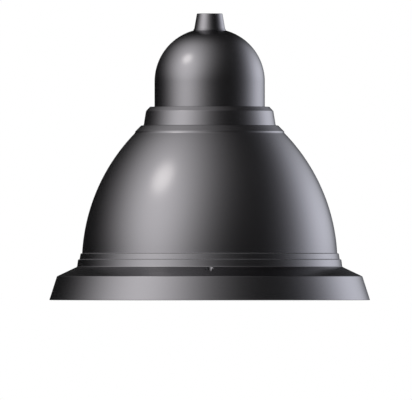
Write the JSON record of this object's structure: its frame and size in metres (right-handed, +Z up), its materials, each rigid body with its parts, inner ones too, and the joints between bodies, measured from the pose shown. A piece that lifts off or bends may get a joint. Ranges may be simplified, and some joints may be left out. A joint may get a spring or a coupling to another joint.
{
  "type": "led garden lamp",
  "caption": "Bell-shaped LED garden lamp head: a dome with a threaded neck, a chamfered collar, a beaded bell, a sloping shoulder and a flared rim round flat glass.",
  "frame": {"origin": "centre of the rim's bottom edge, on the lamp's axis", "axes": "+Z up along the axis, from the rim to the neck; -Y is the front, where a sunk screw shows; +X is to the right as seen from the front"},
  "size_m": [0.5194, 0.5193, 0.4645],
  "materials": {
    "graphite_paint": "satin",
    "stainless": "satin",
    "black_rubber": "matte",
    "grey_silicone": "matte",
    "clear_glass": "polished",
    "clear_lens": "gloss",
    "bare_aluminium": "satin",
    "white_reflector": "satin",
    "white_board": "satin",
    "led_phosphor": "matte",
    "driver_case": "satin",
    "terminal_plastic": "matte",
    "surge_plastic": "satin",
    "black_nylon": "satin",
    "lead_sheath": "satin"
  },
  "bodies": {
    "root": {"rim_frame": "graphite_paint", "bell_housing": "graphite_paint", "collar_ring": "graphite_paint", "dome_cover": "graphite_paint", "suspension_neck": "graphite_paint", "frame_screws": "stainless", "neck_grub_screw": "stainless", "glass_clips": "stainless", "clip_screws": "stainless", "collar_screws": "stainless", "neck_washer": "stainless", "neck_locknut": "stainless", "sink_screws": "stainless", "board_screws": "stainless", "lens_screws": "stainless", "reflector_screws": "stainless", "tray_standoffs": "stainless", "tray_screws": "stainless", "gear_screws": "stainless", "frame_seal": "black_rubber", "frame_screw_washers": "black_rubber", "dome_gasket": "black_rubber", "neck_seal": "black_rubber", "gland_seal": "black_rubber", "deck_grommet": "black_rubber", "lead_grommet": "black_rubber", "glass_gasket": "grey_silicone", "lens_seal": "grey_silicone", "glass_pane": "clear_glass", "lens_panel": "clear_lens", "heat_sink": "bare_aluminium", "gear_tray": "bare_aluminium", "reflector_ring": "white_reflector", "led_board": "white_board", "leds": "led_phosphor", "led_driver": "driver_case", "terminal_block": "terminal_plastic", "surge_protector": "surge_plastic", "cable_gland": "black_nylon", "gland_cap": "black_nylon", "input_lead": "lead_sheath", "output_lead": "lead_sheath"}
  },
  "joints": []
}
